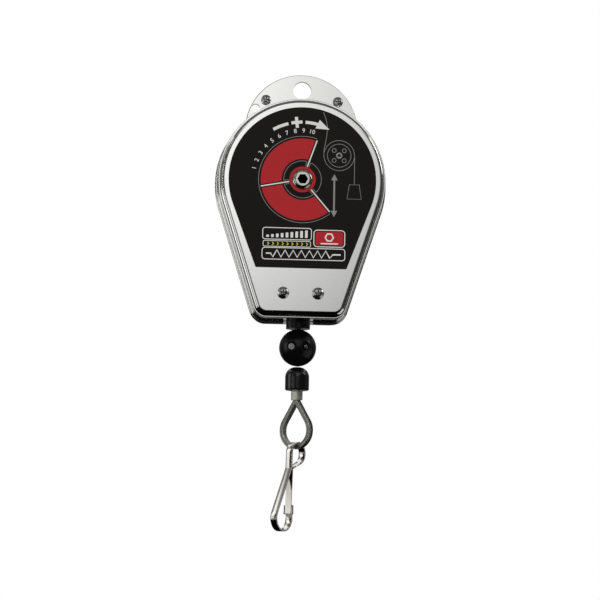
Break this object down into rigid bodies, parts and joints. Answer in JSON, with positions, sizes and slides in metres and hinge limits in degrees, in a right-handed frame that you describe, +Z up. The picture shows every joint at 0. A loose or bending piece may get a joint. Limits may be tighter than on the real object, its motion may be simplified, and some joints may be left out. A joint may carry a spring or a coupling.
{
  "type": "spring tool balancer",
  "caption": "Spring tool balancer: pressed steel case with a hanging ear, spring drum, steel rope, ball stop, looped rope end and snap hook.",
  "frame": {"origin": "centre of the hanging hole, in the plane where the two covers meet", "axes": "+Z up along the rope, +X right, the labelled front faces -Y"},
  "size_m": [0.112, 0.0514, 0.2987],
  "materials": {
    "pressed_steel": "satin nickel plated pressed steel",
    "printed_label": "satin printed film, black with red and silver print",
    "black_plastic": "moulded black nylon, slightly glossy",
    "zinc_steel": "bright zinc plated screws and nuts",
    "sintered_bronze": "oil-soaked sintered bronze",
    "turned_steel": "turned steel, bright",
    "spring_steel": "blued spring steel",
    "drum_alloy": "die cast, as cast",
    "steel_rope": "stranded galvanised wire rope",
    "soft_alloy": "crimped aluminium, dull",
    "liner_steel": "galvanised liner, dull",
    "nickel_strip": "nickel plated bent strip"
  },
  "bodies": {
    "housing": {"front_cover": "pressed_steel", "rear_cover": "pressed_steel", "face_label": "printed_label", "rope_guide": "black_plastic", "case_screws": "zinc_steel", "case_nuts": "zinc_steel", "hanger_screws": "zinc_steel", "hanger_nuts": "zinc_steel", "front_bush": "sintered_bronze", "rear_bush": "sintered_bronze", "click_spring": "spring_steel", "click_rivet": "soft_alloy", "rope_inner_run": "steel_rope"},
    "drum": {"cable_drum": "drum_alloy", "drum_lid": "drum_alloy", "lid_screws": "zinc_steel", "drum_bushes": "sintered_bronze", "mainspring": "spring_steel", "outer_anchor_pin": "turned_steel", "rope_on_drum": "steel_rope", "rope_end_sleeve": "soft_alloy"},
    "adjuster": {"tension_shaft": "turned_steel", "ratchet_wheel": "turned_steel", "shaft_circlip": "spring_steel", "thrust_washer": "turned_steel", "inner_anchor_pin": "turned_steel"},
    "rope_end": {"rope_run": "steel_rope", "rope_in_ball": "steel_rope", "ball_front": "black_plastic", "ball_rear": "black_plastic", "ball_screws": "zinc_steel", "ball_nuts": "zinc_steel"},
    "loop_end": {"end_cap": "black_plastic", "ferrule": "soft_alloy", "thimble": "liner_steel", "rope_loop": "steel_rope"},
    "hook": {"hook_body": "nickel_strip"},
    "gate": {"hook_gate": "nickel_strip"}
  },
  "joints": [
    {"name": "drum_spin", "type": "hinge", "parent": "housing", "child": "drum", "pos_m": [0, 0, -0.064], "axis": [0, -1, 0], "range_deg": [0, 1432.39], "stiffness_Nm_per_rad": 0.0024, "springref_deg": -4297.18, "deforming": ["mainspring"]},
    {"name": "tension_adjust", "type": "hinge", "parent": "housing", "child": "adjuster", "pos_m": [0, 0, -0.064], "axis": [0, 1, 0], "range_deg": [0, 1800], "deforming": ["click_spring"]},
    {"name": "rope_pull", "type": "slide", "parent": "housing", "child": "rope_end", "axis": [0, 0, -1], "range_m": [0, 1], "deforming": ["rope_run"]},
    {"name": "loop_swivel", "type": "hinge", "parent": "rope_end", "child": "loop_end", "pos_m": [0, 0, -0.1831], "axis": [0, 0, 1], "continuous": true},
    {"name": "hook_swing", "type": "hinge", "parent": "loop_end", "child": "hook", "pos_m": [0, 0, -0.23848], "axis": [0.766, -0.6428, 0], "range_deg": [-57, 83]},
    {"name": "gate_open", "type": "hinge", "parent": "hook", "child": "gate", "pos_m": [-0.00388, -0.00462, -0.24924], "axis": [-0.766, 0.6428, 0], "range_deg": [0, 12], "stiffness_Nm_per_rad": 0.4, "springref_deg": -5.73}
  ],
  "couplings": [
    {"joint": "rope_pull", "follows": "drum_spin", "m_per_rad": 0.04}
  ]
}
